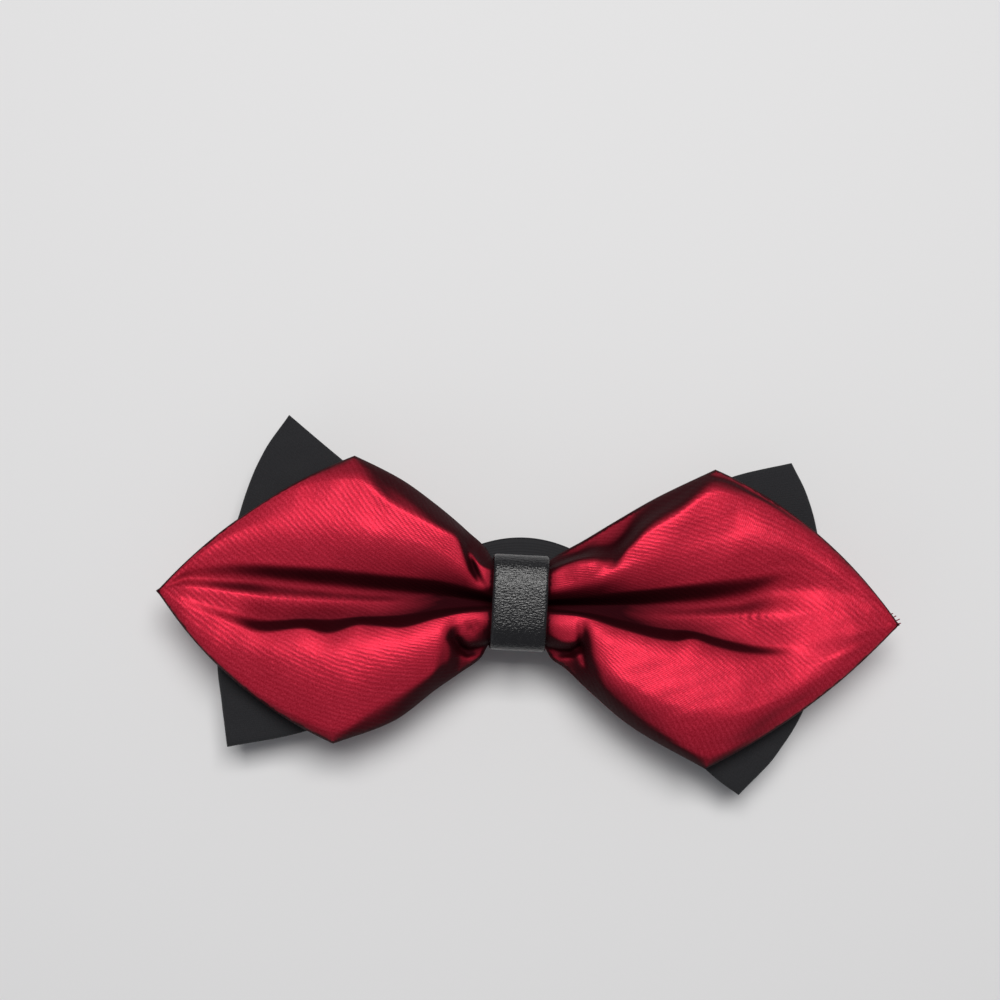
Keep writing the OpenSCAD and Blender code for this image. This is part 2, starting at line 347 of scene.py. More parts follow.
def satin_twill():
    n = Nodes("red_satin", Roughness=0.5, Metallic=0.55, Specular_IOR_Level=0.12,
              Anisotropic=0.3)
    n.shader.inputs["Specular Tint"].default_value = (0.95, 0.36, 0.46, 1)
    cloth = n.cloth()
    wobble = n.range(n.noise(cloth, 0.45, 2), 0.3, 0.7, -1.1, 1.1)
    broken = n.range(n.noise(cloth, 1.1, 2), 0.35, 0.65, 0.25, 1.0)
    rib = n.math("MULTIPLY", n.ribs(cloth, math.radians(33), 0.8, wobble), broken)
    weft = n.ribs(cloth, math.radians(-52), 0.34)
    yarn = n.noise(cloth, 3.6, 4, 0.7)
    cloud = n.noise(cloth, 0.12, 2)
    # Ribs and yarn flecks mix from a deep red towards a lighter highlight red: a real twill pattern with
    # painted sheen and glints on it.
    deep = n.mix(cloud, (0.38, 0.007, 0.022), (0.46, 0.011, 0.030))
    light = n.mix(cloud, (0.66, 0.033, 0.070), (0.74, 0.046, 0.092))
    painted_yarn_glint = n.range(yarn, 0.36, 0.64, 0.0, 0.75)
    color = n.mix(n.math("ADD", n.math("MULTIPLY", rib, 0.4), painted_yarn_glint), deep, light)
    # Painted shade: deep folds and steep flanks are darkened to near-black by the mesh's attribute,
    # whatever the light, and there the satin also loses its metal and gains roughness.
    depth = n.add("Attribute")
    depth.attribute_name = "fold_depth"
    painted_shade = depth.outputs["Fac"]
    color = n.mix(n.range(painted_shade, 0.0, 1.0, 0.0, 0.97), color, (0.006, 0.0004, 0.0012))
    metal = n.range(painted_shade, 0.0, 1.0, 0.58, 0.0)
    height = n.math("ADD", rib, n.math("MULTIPLY", weft, 0.25))
    height = n.math("ADD", height, n.math("MULTIPLY", yarn, 0.5))
    rough = n.math("ADD", n.range(yarn, 0.3, 0.7, 0.4, 0.56), n.math("MULTIPLY", painted_shade, 0.3))
    return n.finish(Base_Color=color, Roughness=rough, Metallic=metal,
                    Normal=n.bump(height, 0.00007, 0.45))


def black_cotton():
    n = Nodes("black_cotton", Roughness=0.82, Specular_IOR_Level=0.3,
              Sheen_Weight=0.12, Sheen_Roughness=0.5)
    cloth = n.cloth()
    warp = n.ribs(cloth, math.radians(90), 0.36)
    weft = n.ribs(cloth, 0.0, 0.36)
    fluff = n.noise(cloth, 3.5, 4, 0.65)
    cloud = n.noise(cloth, 0.15, 2)
    weave = n.math("MULTIPLY", warp, weft)
    base = n.mix(cloud, (0.007, 0.007, 0.009), (0.012, 0.012, 0.014))
    color = n.mix(n.range(fluff, 0.35, 0.8, 0, 0.6), base, (0.024, 0.025, 0.029))
    height = n.math("ADD", weave, n.math("MULTIPLY", fluff, 0.7))
    return n.finish(Base_Color=color, Normal=n.bump(height, 0.00006, 0.6))


def strap_satin():
    n = Nodes("strap_satin", Roughness=0.62, Specular_IOR_Level=0.22)
    cloth = n.cloth()
    warp = n.ribs(cloth, 0.0, 0.3)
    cross = n.ribs(cloth, math.radians(90), 0.5)
    thread = n.noise(cloth, 4, 3, 0.6)
    color = n.mix(thread, (0.006, 0.006, 0.008), (0.014, 0.014, 0.017))
    height = n.math("ADD", n.math("MULTIPLY", warp, 0.6), n.math("MULTIPLY", cross, 0.5))
    height = n.math("ADD", height, n.math("MULTIPLY", thread, 0.5))
    return n.finish(Base_Color=color, Normal=n.bump(height, 0.00006, 0.6))


def pebbled_leather():
    n = Nodes("faux_leather", Roughness=0.3, Specular_IOR_Level=0.5)
    cloth = n.cloth()
    pressed = n.add("Mapping", Vector=cloth)
    pressed.inputs["Scale"].default_value = (1.0, 1.9, 1.0)
    cells = n.add("TexVoronoi", Vector=pressed.outputs[0], Scale=1.7, Randomness=1.0)
    wrinkle = n.noise(pressed.outputs[0], 2.6, 4, 0.6)
    grain = n.noise(cloth, 7, 3, 0.6)
    height = n.math("ADD", n.math("MULTIPLY", cells.outputs["Distance"], -0.9), wrinkle)
    height = n.math("ADD", height, n.math("MULTIPLY", grain, 0.25))
    color = n.mix(wrinkle, (0.006, 0.006, 0.007), (0.014, 0.014, 0.016))
    rough = n.range(grain, 0.3, 0.7, 0.2, 0.32)
    return n.finish(Base_Color=color, Roughness=rough, Normal=n.bump(height, 0.0001, 0.7))


def canvas():
    n = Nodes("interlining", Roughness=0.9)
    cloth = n.cloth()
    weave = n.math("MULTIPLY", n.ribs(cloth, 0.0, 0.7), n.ribs(cloth, math.radians(90), 0.7))
    color = n.mix(weave, (0.50, 0.47, 0.41), (0.76, 0.73, 0.66))
    return n.finish(Base_Color=color, Normal=n.bump(weave, 0.0002, 0.7))


def thread(name, dark, light):
    n = Nodes(name, Roughness=0.6, Sheen_Weight=0.2)
    place = n.position()
    twist = n.ribs(place, math.radians(40), 0.00035)
    color = n.mix(n.math("MULTIPLY", twist, n.noise(place, 900, 2)), dark, light)
    return n.finish(Base_Color=color, Normal=n.bump(twist, 0.00008, 0.7))


def nickel_plate():
    n = Nodes("nickel_plate", Metallic=1.0, Roughness=0.25)
    place = n.position()
    stretched = n.add("Mapping", Vector=place)
    stretched.inputs["Scale"].default_value = (250, 4000, 4000)
    brush = n.noise(stretched.outputs[0], 1.0, 3, 0.6)
    wear = n.noise(place, 260, 3, 0.6)
    color = n.mix(n.range(wear, 0.4, 0.75, 0, 1), (0.62, 0.60, 0.57), (0.48, 0.46, 0.43))
    rough = n.range(n.math("ADD", brush, wear), 0.6, 1.4, 0.3, 0.5)
    return n.finish(Base_Color=color, Roughness=rough, Normal=n.bump(brush, 0.00002, 0.4))


RED = satin_twill()
BLACK = black_cotton()
STRAP = strap_satin()
LEATHER = pebbled_leather()
CANVAS = canvas()
BLACK_THREAD = thread("black_thread", (0.008, 0.008, 0.009), (0.05, 0.05, 0.055))
RED_THREAD = thread("red_thread", (0.18, 0.006, 0.018), (0.5, 0.03, 0.07))
NICKEL = nickel_plate()


# ---------------------------------------------------------------- front bow

# Everything about a wing is counted from the knot: r is the distance from it along the bow and
# y the height above it. An edge is a list of (r, y); a fold line is a list of (r, y, z).
LEFT_WING = {
    "side": -1,
    "upper_edge": [(2.2, 6.2), (4.8, 7.4), (6.2, 9.4), (9.4, 12.1), (15.4, 16.7), (22, 20.9),
                   (30, 24.3)],
    "lower_edge": [(2.2, -6.2), (4.8, -7.4), (6.0, -9.7), (9.5, -12.6), (13.3, -15.5), (20.8, -21.6),
                   (31, -25.9)],
    "tip": (63.1, -1.0),
    "upper_bulge": 2.3,
    "lower_bulge": 2.9,
    "edge_z_upper": [(4.6, 14.6), (10, 14.4), (22, 15.4), (29, 17.8), (38, 18.2), (50, 17.4),
                     (63, 16.4)],
    "edge_z_lower": [(4.6, 14.6), (10, 14.4), (18, 14.8), (30, 16.8), (45, 17.4), (55, 17.0),
                     (63, 16.4)],
    "folds": {
        "lower_turn": [(4.6, -5.9, 17.8), (9.5, -9.2, 17.6), (12, -10.2, 19.8), (14.5, -12.6, 20.4),
                       (17.5, -14.8, 20.4), (24, -18.8, 20.3), (30, -22.8, 19.6), (45, -16.8, 18.9),
                       (55, -9.8, 18.0), (62, -2.4, 17.0)],
        "lower_crest": [(4.6, -3.0, 20.4), (7.6, -3.2, 20.6), (10.5, -3.9, 20.9), (13.7, -6.2, 22.0),
                        (25, -10.0, 22.5), (37, -11.6, 21.4), (49, -9.4, 19.5), (57, -5.8, 18.4),
                        (62, -1.9, 17.2)],
        "lower_brow": [(4.6, -1.5, 19.8), (8, -1.8, 20.2), (13.7, -3.2, 21.2), (21, -5.4, 21.4),
                       (27, -5.0, 20.6), (33, -7.0, 20.6), (37, -6.2, 20.2), (44, -7.4, 19.7),
                       (52, -5.4, 19.0), (58, -3.6, 18.3), (62, -1.5, 17.3)],
        "second_valley": [(4.6, -0.8, 15.6), (12, -1.4, 15.2), (18, -2.5, 15.4), (24, -3.4, 16.0),
                          (33, -4.2, 15.4), (43.5, -4.8, 16.2), (50, -3.8, 17.9), (58, -1.8, 18.0),
                          (62, -1.2, 17.3)],
        "crease": [(4.6, -0.5, 15.0), (12, -0.8, 15.0), (17, -1.1, 15.3), (23, -1.3, 16.0),
                   (30, -1.4, 16.3), (41, -1.4, 16.9), (49, -0.9, 18.1), (57, -0.2, 18.2),
                   (62, -0.8, 17.3)],
        "main_valley": [(4.6, -0.2, 15.2), (12, 0.2, 14.9), (18, 0.4, 15.0), (25, 0.5, 15.0),
                        (33, 0.8, 15.0), (40, 1.2, 15.1), (48, 1.6, 15.9), (57, 1.6, 17.2),
                        (62, -0.4, 17.2)],
        "upper_slope": [(4.6, 1.0, 18.8), (8, 1.9, 19.4), (15.7, 3.4, 19.4), (25, 4.0, 19.3),
                        (33, 4.6, 19.2), (47, 4.8, 18.6), (57, 3.2, 18.1), (62, 0.0, 17.3)],
        "upper_middle": [(4.6, 2.6, 20.4), (8, 4.4, 20.9), (10, 5.8, 21.8), (15.7, 8.8, 22.6),
                         (25, 11.5, 22.5), (35, 13.5, 21.4), (47, 10.4, 19.8), (57, 4.9, 18.5),
                         (62, 0.3, 17.3)],
        "upper_crest": [(4.6, 4.8, 20.4), (7.0, 5.9, 20.6), (8.6, 7.2, 21.2), (10.5, 9.6, 22.2),
                        (14.6, 11.8, 22.9), (22.7, 15.4, 22.8), (29.5, 19.6, 21.8),
                        (38.5, 18.2, 20.3), (47, 12.7, 19.4), (57, 5.6, 18.2), (62, 0.6, 17.2)],
        "upper_turn": [(4.6, 5.9, 19.2), (6.8, 7.0, 18.8), (8.8, 8.9, 18.8), (11, 11.2, 21.2),
                       (14.5, 13.0, 21.7), (18.3, 15.0, 21.8), (23, 17.6, 21.2), (29.5, 22.2, 20.2),
                       (39, 19.2, 19.6), (47, 13.8, 19.1), (57, 6.3, 17.9), (62, 0.9, 17.0)],
    },
    "pleats": [
        ([(11.2, 12.0, 0.0), (9.6, 8.8, 1.7), (8.2, 5.4, 1.9), (7.2, 3.6, 1.0), (6.0, 2.4, 0.0)], 0.55),
        ([(10.9, -4.4, 0.0), (11.0, -6.6, 1.8), (9.8, -8.2, 2.8), (8.4, -8.9, 3.0), (6.6, -8.5, 2.8),
          (4.4, -7.9, 2.6)], 0.8),
        ([(9.2, -3.4, 0.0), (8.2, -4.9, 0.5), (7.4, -6.0, 0.0)], 0.45),
        ([(8.2, -3.0, 0.0), (7.2, -4.3, 0.35), (6.6, -5.2, 0.0)], 0.35),
    ],
}

RIGHT_WING = {
    "side": 1,
    "upper_edge": [(2.2, 6.2), (4.8, 7.6), (7.0, 9.2), (10.3, 11.2), (16.3, 15.2), (23.3, 19.7),
                   (33.4, 25.1)],
    "lower_edge": [(2.2, -6.2), (4.8, -7.4), (6.4, -9.6), (8.4, -10.8), (12.9, -14.6), (20.4, -20.4),
                   (33.7, -27.2)],
    "tip": (67.0, -0.6),
    "upper_bulge": 3.0,
    "lower_bulge": 1.9,
    "edge_z_upper": [(4.6, 14.6), (10, 14.2), (23, 14.8), (33, 17.6), (42, 18.2), (54, 17.4),
                     (67, 16.4)],
    "edge_z_lower": [(4.6, 14.6), (10, 14.2), (20, 14.8), (33, 16.8), (47, 17.4), (58, 17.0),
                     (67, 16.4)],
    "folds": {
        "lower_turn": [(4.6, -5.9, 17.8), (9, -8.3, 17.4), (11.5, -8.8, 19.2), (13, -10.4, 20.6),
                       (15, -13.2, 20.8), (18, -15.9, 20.6), (24, -20.0, 20.4), (33, -24.4, 19.8),
                       (46, -17.4, 19.0), (58, -8.0, 18.0), (66, -1.4, 17.0)],
        "lower_shelf": [(4.6, -5.0, 19.4), (8, -6.0, 19.8), (11.2, -5.6, 20.8), (14, -9.0, 22.0),
                        (18, -11.8, 22.8), (27, -15.8, 22.9), (37, -17.0, 22.2), (46.5, -13.6, 20.6),
                        (56, -8.0, 18.6), (66, -1.3, 17.1)],
        "lower_crest": [(4.6, -3.0, 20.4), (8, -3.2, 20.6), (11.2, -3.6, 21.2), (13, -5.2, 22.0),
                        (16, -6.8, 22.6), (27, -8.8, 22.4), (37, -9.8, 21.4), (46.5, -9.6, 19.9),
                        (56, -6.6, 18.8), (66, -1.2, 17.1)],
        "lower_brow": [(4.6, -1.4, 19.8), (8, -1.4, 20.2), (12.3, -2.0, 20.9), (17, -3.4, 21.3),
                       (27, -5.3, 20.9), (30, -4.6, 20.6), (34, -5.8, 20.3), (41, -7.0, 19.6),
                       (51, -7.3, 19.0), (58, -4.6, 18.5), (66, -1.0, 17.2)],
        "second_valley": [(4.6, -0.8, 15.6), (12, -1.1, 15.2), (18, -1.9, 15.2), (24.4, -2.9, 15.6),
                          (32, -3.6, 16.1), (37, -4.6, 16.8), (44, -5.2, 17.8), (51, -4.6, 18.8),
                          (58, -2.6, 18.7), (66, -0.8, 17.2)],
        "crease": [(4.6, -0.5, 15.0), (14, -0.8, 15.0), (20, -1.3, 15.3), (25, -1.5, 15.9),
                   (30, -1.3, 16.3), (38.7, -0.6, 17.1), (46, 0.0, 18.8), (55.5, 0.4, 18.7),
                   (66, -0.6, 17.2)],
        "main_valley": [(4.6, -0.2, 15.2), (12, -0.1, 14.8), (22, 0.5, 14.9), (31, 1.2, 15.0),
                        (38.6, 2.2, 15.3), (45, 4.2, 17.0), (54, 4.6, 18.3), (61, 2.4, 18.0),
                        (66, -0.2, 17.1)],
        "upper_slope": [(4.6, 0.8, 18.8), (12, 1.8, 19.0), (21.6, 3.4, 19.7), (31, 5.2, 19.6),
                        (41, 7.0, 19.2), (48, 8.2, 19.0), (56, 6.0, 18.6), (66, 0.1, 17.2)],
        "upper_middle": [(4.6, 2.6, 20.4), (12, 4.6, 21.8), (21, 8.8, 22.7), (31, 12.4, 21.9),
                         (40, 13.7, 21.4), (50, 11.0, 19.9), (58, 5.8, 18.6), (66, 0.4, 17.2)],
        "upper_crest": [(4.6, 4.4, 20.6), (7.2, 5.4, 21.0), (10, 6.6, 22.0), (12.2, 7.2, 22.4),
                        (15.5, 7.4, 21.6), (18, 9.6, 22.6), (21, 12.6, 23.0), (26, 16.0, 23.0),
                        (33, 20.6, 22.4), (40, 18.8, 20.8), (50, 13.4, 19.6), (58, 7.4, 18.5),
                        (66, 0.8, 17.1)],
        "upper_turn": [(4.6, 5.8, 19.4), (7.2, 6.9, 20.4), (10, 8.0, 21.2), (12.2, 8.4, 21.4),
                       (15.5, 8.5, 20.4), (18, 10.8, 21.6), (21, 14.0, 22.0), (26, 17.6, 21.8),
                       (33, 22.6, 20.8), (40, 20.4, 20.0), (50, 14.6, 19.1), (58, 8.2, 18.2),
                       (66, 1.1, 17.0)],
        "upper_foot": [(4.6, 6.4, 16.6), (7.2, 7.9, 16.2), (10, 9.2, 15.6), (13, 10.4, 16.4),
                       (16.5, 11.6, 15.4), (21, 16.0, 17.2), (26, 19.2, 18.8), (33, 23.6, 19.2),
                       (40, 21.0, 19.1), (50, 15.2, 18.7), (58, 8.7, 17.9), (66, 1.3, 16.9)],
    },
    "pleats": [
        ([(10.6, -2.0, 0.0), (11.0, -4.6, 0.9), (11.0, -7.0, 2.2), (9.4, -8.1, 2.8), (7.5, -8.3, 2.8),
          (4.4, -7.7, 2.6)], 0.75),
        ([(11.0, -7.0, 2.0), (11.9, -9.6, 1.2), (13.4, -12.2, 0.0)], 0.6),
    ],
}

KNOT_REACH = 2.2
SEAM_ROLL_W = 1.1
SEAM_ROLL_H = 1.3
FACE_T = 0.35
LINING_T = 0.2
LINING_INSET = 3.0
LINING_LIFT = 0.32
FRONT_FLOOR = 15.0
REAR_LEVEL = 15.4
KNOT_SINK = 1.5
# How strongly occlusion in folds and the steepness of flanks are painted in as shade.
FOLD_SHADE_PAINT = 2.2
FLANK_SHADE_PAINT = 0.97
STRIP_H = 52.0


def bowed(a, b, bulge, t):
    """Points from a to b along a shallow curve that stands out by bulge on its right."""
    a, b = np.array(a, float), np.array(b, float)
    t = t[..., None]
    normal = np.array([b[1] - a[1], a[0] - b[0]])
    normal /= np.linalg.norm(normal)
    return a * (1 - t) + b * t + normal * bulge * 4 * t * (1 - t)


def wing_end(wing, v):
    """The outer end of a wing, from the lower shoulder (v = -1) by the tip to the upper one."""
    if "round_end" in wing:
        ends = np.array(wing["round_end"])
        y = ends[0, 1] + (ends[-1, 1] - ends[0, 1]) * (v + 1) / 2
        return np.stack([smooth_curve(ends[:, 1], ends[:, 0], y), y], -1)
    low = bowed(wing["lower_edge"][-1], wing["tip"], wing["lower_bulge"], np.clip(v + 1, 0, 1))
    high = bowed(wing["tip"], wing["upper_edge"][-1], wing["upper_bulge"], np.clip(v, 0, 1))
    return np.where(v[..., None] < 0, low, high)


def edge_points(edge, u):
    """Points along an upper or lower edge, evenly spread by u from the knot to the shoulder."""
    r = edge[0][0] + (edge[-1][0] - edge[0][0]) * u
    return np.stack([r, along(edge, r)], -1)


def wing_plan(wing, u, v):
    """Plan of a wing: (r, y) from u, knot to end, and v, lower to upper edge."""
    w = ((v + 1) / 2)[..., None]
    uu = u[..., None]
    low, high = edge_points(wing["lower_edge"], u), edge_points(wing["upper_edge"], u)
    k0, k1 = np.array(wing["lower_edge"][0]), np.array(wing["upper_edge"][0])
    e0, e1 = np.array(wing["lower_edge"][-1]), np.array(wing["upper_edge"][-1])
    sides = (1 - w) * low + w * high
    ends = (1 - uu) * (k0 * (1 - w) + k1 * w) + uu * wing_end(wing, v)
    corners = (1 - uu) * (k0 * (1 - w) + k1 * w) + uu * (e0 * (1 - w) + e1 * w)
    return sides + ends - corners


def outline(wing, steps=40):
    """The wing's outer edge as a path, from the knot by the tip back to the knot."""
    t = np.linspace(0, 1, steps)
    low = edge_points(wing["lower_edge"], t)
    end = wing_end(wing, np.linspace(-1, 1, 2 * steps))
    high = edge_points(wing["upper_edge"], t[::-1])
    return np.concatenate([low, end[1:], high[1:]])


def edge_limits(wing, r):
    """Heights y of the lower and the upper edge at r."""
    path = outline(wing)
    tip = np.argmax(path[:, 0])
    low, high = path[:tip + 1], path[tip:][::-1]
    return np.interp(r, low[:, 0], low[:, 1]), np.interp(r, high[:, 0], high[:, 1])


def front_height(wing, r, y):
    """Height of the front bow's outer fabric."""
    low, high = edge_limits(wing, r)
    lines = list(wing["folds"].values())
    ys = [low - 0.5] + [along(line, r) for line in lines] + [high + 0.5]
    zs = [along(wing["edge_z_lower"], r)]
    zs += [along(line, r, 2) for line in lines]
    zs += [along(wing["edge_z_upper"], r)]
    ys, zs = np.stack(ys, -1), np.stack(zs, -1)
    least = 0.12
    for k in range(1, ys.shape[-1]):
        ys[..., k] = np.maximum(ys[..., k], ys[..., k - 1] + least)
    z = smooth_curve(ys, zs, y)
    for path, width in wing["pleats"]:
        d, depth = nearest_on(path, r, y)
        z = z - depth * np.exp(-(d / width) ** 2)
    crease_y = along(wing["folds"]["crease"], r)
    on_crease = np.exp(-((y - crease_y) / 0.7) ** 2) * smoothstep((r - 22) / 5) * smoothstep((46 - r) / 6)
    z = z + 0.10 * on_crease * np.sin(r * math.tau / 1.3 + 1.5 * np.sin(r * 0.7))
    free = smoothstep((r - 8) / 10)
    z = z + 0.10 * free * wave_noise(r * 0.45, y, 9, 3 + wing["side"])
    z = z + 0.03 * free * wave_noise(r * 0.6, y, 3.2, 7 + wing["side"])
    return np.maximum(z, FRONT_FLOOR)


def seam_drop(wing, r, y):
    """How far the fabric turns down close to the wing's seamed edge."""
    d = distance_to(outline(wing), r, y)
    t = np.clip(1 - d / SEAM_ROLL_W, 0, 1)
    return SEAM_ROLL_H * (1 - np.sqrt(1 - t * t * 0.999)), d


def wing_grid(nu, nv, inset=0.0):
    """Grid parameters of a wing, closer together along the creases in its middle."""
    rim = 0.96
    turn = rim + (1 - rim) * np.sin(np.linspace(0, math.pi / 2, 11)[1:])
    u = np.concatenate([np.linspace(0, rim, nu), turn]) * (1 - inset / 60)
    t = np.linspace(-1, 1, nv)
    v = rim * (0.45 * t + 0.55 * t * np.abs(t))
    v = np.concatenate([-turn[::-1], v, turn]) * (1 - inset / 30)
    return np.meshgrid(u, v, indexing="ij")


def bow_columns(wings, height, nu, nv, inset=0.0):
    """Both wings as one grid of (x, y, z, cloth_x, cloth_y), left end to right end."""
    halves = []
    for wing in wings:
        grid = wing_fabric(wing, *wing_grid(nu, nv, inset), height)
        halves.append(grid[::-1] if wing["side"] < 0 else grid)
    return np.concatenate(halves)


def wing_fabric(wing, u, v, height):
    plan = wing_plan(wing, u, v)
    r, y = plan[..., 0], plan[..., 1]
    z = height(wing, r, y)
    start = wing_plan(wing, np.zeros_like(u), v)
    length = np.hypot(r - start[..., 0], y - start[..., 1])
    x = KNOT_X + wing["side"] * r
    return np.stack([x, y, z, wing["side"] * (length + KNOT_REACH), v * STRIP_H / 2], -1)


def relief(wing, spacing=0.25):
    """Heights round a wing on an even raster: fabric, the band, and little beyond the edges."""
    r = np.arange(-12, 80, spacing)
    y = np.arange(-42, 42, spacing)
    rr, yy = np.meshgrid(r, y, indexing="ij")
    low, high = edge_limits(wing, rr)
    z = front_height(wing, np.maximum(rr, KNOT_REACH), yy)
    z = np.where((yy < low) | (yy > high), 9.0, z)
    z = np.where((rr < BAND_HALF) & (np.abs(yy) < 8), BAND_HIGH[2] - 0.3, z)

    def at(rq, yq):
        i = np.clip((rq - r[0]) / spacing, 0, len(r) - 2)
        j = np.clip((yq - y[0]) / spacing, 0, len(y) - 2)
        a, b = i.astype(int), j.astype(int)
        s, t = i - a, j - b
        lower = z[a, b] * (1 - s) + z[a + 1, b] * s
        return lower * (1 - t) + (z[a, b + 1] * (1 - s) + z[a + 1, b + 1] * s) * t

    return at


def fold_depth(wing, r, y):
    """Painted shade, from 0 on open fabric to 1 deep in a fold or on a steep flank, where little light
    gets; it darkens the satin's colour.
    """
    at = relief(wing)
    z = at(r, y)
    hidden = np.zeros_like(z)
    directions = 12
    for angle in np.linspace(0, math.tau, directions, endpoint=False):
        rise = np.zeros_like(z)
        for reach in (0.7, 1.4, 2.4, 3.8, 5.5, 8.0):
            there = at(r + reach * math.cos(angle), y + reach * math.sin(angle))
            rise = np.maximum(rise, (there - z) / reach)
        hidden += rise ** 2 / (1 + rise ** 2) / directions
    step = 0.4
    slope_r = (at(r + step, y) - at(r - step, y)) / (2 * step)
    slope_y = (at(r, y + step) - at(r, y - step)) / (2 * step)
    tilt = np.degrees(np.arctan(np.hypot(slope_r, slope_y)))
    open_sky = 1 - np.clip(hidden * FOLD_SHADE_PAINT, 0, 1)
    flat = 1 - FLANK_SHADE_PAINT * smoothstep((tilt - 26) / 32)
    return 1 - open_sky * flat


def face_height(wing, r, y):
    return front_height(wing, r, y) - seam_drop(wing, r, y)[0]


def rear_height(wing, r, y):
    drop, d = seam_drop(wing, r, y)
    level = REAR_LEVEL - KNOT_SINK * smoothstep((16 - r) / 8)
    level = level + 0.35 * smoothstep((r - 10) / 10) * wave_noise(r, y, 16, 21 + wing["side"])
    level = level - 0.6 * smoothstep(d / 9)
    face = front_height(wing, r, y) - drop
    return np.minimum(face - FACE_T - 0.1, level)


def add_panel(name, node, slot, material, wings, height, size, t, inset=0.0, depth=None):
    """A closed sheet over both wings, t thick, with its upper side at the height given."""
    grid = bow_columns(wings, height, *size, inset=inset)
    upper = grid[..., :3]
    lower = upper - np.array([0, 0, t])
    shade = None
    # depth, when given, works out the painted shade of each point for the attribute.
    if depth is not None:
        half = len(grid) // 2
        r = np.abs(grid[..., 0] - KNOT_X)
        shade = np.concatenate([
            depth(wings[0], r[:half], grid[:half, :, 1]), depth(wings[1], r[half:], grid[half:, :, 1]),
        ])
    piece = shell(name, upper, lower, grid[..., 3:5], material, shade)
    place(piece, "bow", slot, node)
    return piece


def place(piece, body, slot, *nodes):
    if body:
        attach(piece, body)
    if nodes:
        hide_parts(*nodes)


def make_front_bow():
    wings = (LEFT_WING, RIGHT_WING)
    # Only the outer face carries painted shade in its folds and on its flanks.
    face = add_panel("front_face_panel", "front_bow_face", "red_satin", RED, wings,
                     face_height, (150, 171), FACE_T, depth=fold_depth)
    rear = add_panel("front_rear_panel", "front_bow_rear", "red_satin", RED, wings,
                     rear_height, (70, 71), FACE_T)
    lining = add_panel("front_lining", "front_bow_interlining", "interlining", CANVAS, wings,
                       front_lining_height, (70, 71), LINING_T, inset=LINING_INSET)


def front_lining_height(wing, r, y):
    return rear_height(wing, r, y) + LINING_LIFT


# ---------------------------------------------------------------- back bow

BACK_LEFT = {
    "side": -1,
    "upper_edge": [(2.2, 5.8), (4.8, 6.3), (15, 12.0), (25, 18.6), (33.7, 24.9), (42.5, 31.6)],
    "lower_edge": [(2.2, -5.8), (4.8, -6.3), (15, -11.8), (25, -18.2), (32, -22.4), (37.4, -24.7),
                   (49.9, -27.7)],
    "round_end": [(49.9, -27.7), (51.4, -20), (52.6, -13.4), (53.3, -4), (52.6, 4), (50.7, 12.1),
                  (48.8, 19.2), (46.6, 24.8), (42.5, 31.6)],
}
BACK_RIGHT = {
    "side": 1,
    "upper_edge": [(2.2, 5.8), (4.8, 6.3), (15, 11.6), (25, 18.0), (33, 22.6), (38.6, 25.0),
                   (48.0, 27.6)],
    "lower_edge": [(2.2, -5.8), (4.8, -6.3), (15, -12.6), (25, -20.2), (34.3, -27.4), (37.4, -29.8),
                   (40.7, -31.9)],
    "round_end": [(40.7, -31.9), (46.8, -25), (52.2, -15), (54.6, -5), (54.8, 5), (52.8, 16.2),
                  (50.9, 22), (48.0, 27.6)],
}

BACK_MID = (BACK_LOW[2] + BACK_HIGH[2]) / 2 + 0.7
BACK_SINK = 1.3
BACK_HALF_T = 0.4
BACK_ROLL = 0.42


def back_middle(wing, r, y):
    """Height of the middle of the back bow: gathers that fade from the knot outwards."""
    low, high = edge_limits(wing, r)
    s = y / np.where(y > 0, high, -low)
    seed = 31 + wing["side"]
    z = BACK_MID - BACK_SINK * smoothstep((r - 4) / 16)
    z = z + 0.5 * np.cos(3.3 * math.pi * s + 0.5) * smoothstep((44 - r) / 40)
    out = smoothstep((r - 8) / 14)
    z = z + out * (0.30 * wave_noise(r, y, 19, seed) + 0.10 * wave_noise(r, y, 6.5, seed + 5))
    return z - 0.5 * out * np.abs(s) ** 3


def back_roll(wing, r, y):
    """How thick the back bow is beyond its seam: nothing at the seam, full just inside it."""
    d = distance_to(outline(wing), r, y)
    t = 1 - np.clip(d / SEAM_ROLL_W, 0, 1)
    return BACK_ROLL * np.sqrt(1 - t * t * 0.999)


def back_face_height(wing, r, y):
    return back_middle(wing, r, y) + BACK_HALF_T + back_roll(wing, r, y)


def back_rear_height(wing, r, y):
    return back_middle(wing, r, y) - BACK_HALF_T + FACE_T - back_roll(wing, r, y)


def back_lining_height(wing, r, y):
    return back_middle(wing, r, y) + 0.1


def make_back_bow():
    wings = (BACK_LEFT, BACK_RIGHT)
    face = add_panel("back_face_panel", "back_bow_face", "black_cotton", BLACK, wings,
                     back_face_height, (90, 91), FACE_T)
    rear = add_panel("back_rear_panel", "back_bow_rear", "black_cotton", BLACK, wings,
                     back_rear_height, (90, 91), FACE_T)
    lining = add_panel("back_lining", "back_bow_interlining", "interlining", CANVAS, wings,
                       back_lining_height, (50, 51), LINING_T, inset=LINING_INSET)


# ---------------------------------------------------------------- threads

def tube(path, radius, sides=6):
    """Points and faces of a closed thread along a path of points."""
    path = np.array(path, float)
    ahead = np.gradient(path, axis=0)
    ahead /= np.linalg.norm(ahead, axis=1)[:, None]
    side = np.cross(ahead, (0.31, 0.17, 0.93))
    side /= np.linalg.norm(side, axis=1)[:, None]
    up = np.cross(side, ahead)
    angle = np.linspace(0, math.tau, sides, endpoint=False)[None, :, None]
    ring = np.cos(angle) * side[:, None] + np.sin(angle) * up[:, None]
    points = (path[:, None] + radius * ring).reshape(-1, 3)
    faces = []
    for i in range(len(path) - 1):
        for j in range(sides):
            k = (j + 1) % sides
            faces.append((i * sides + j, i * sides + k, (i + 1) * sides + k, (i + 1) * sides + j))
    last = (len(path) - 1) * sides
    faces.append(tuple(range(sides))[::-1])
    faces.append(tuple(range(last, last + sides)))
    return points, faces


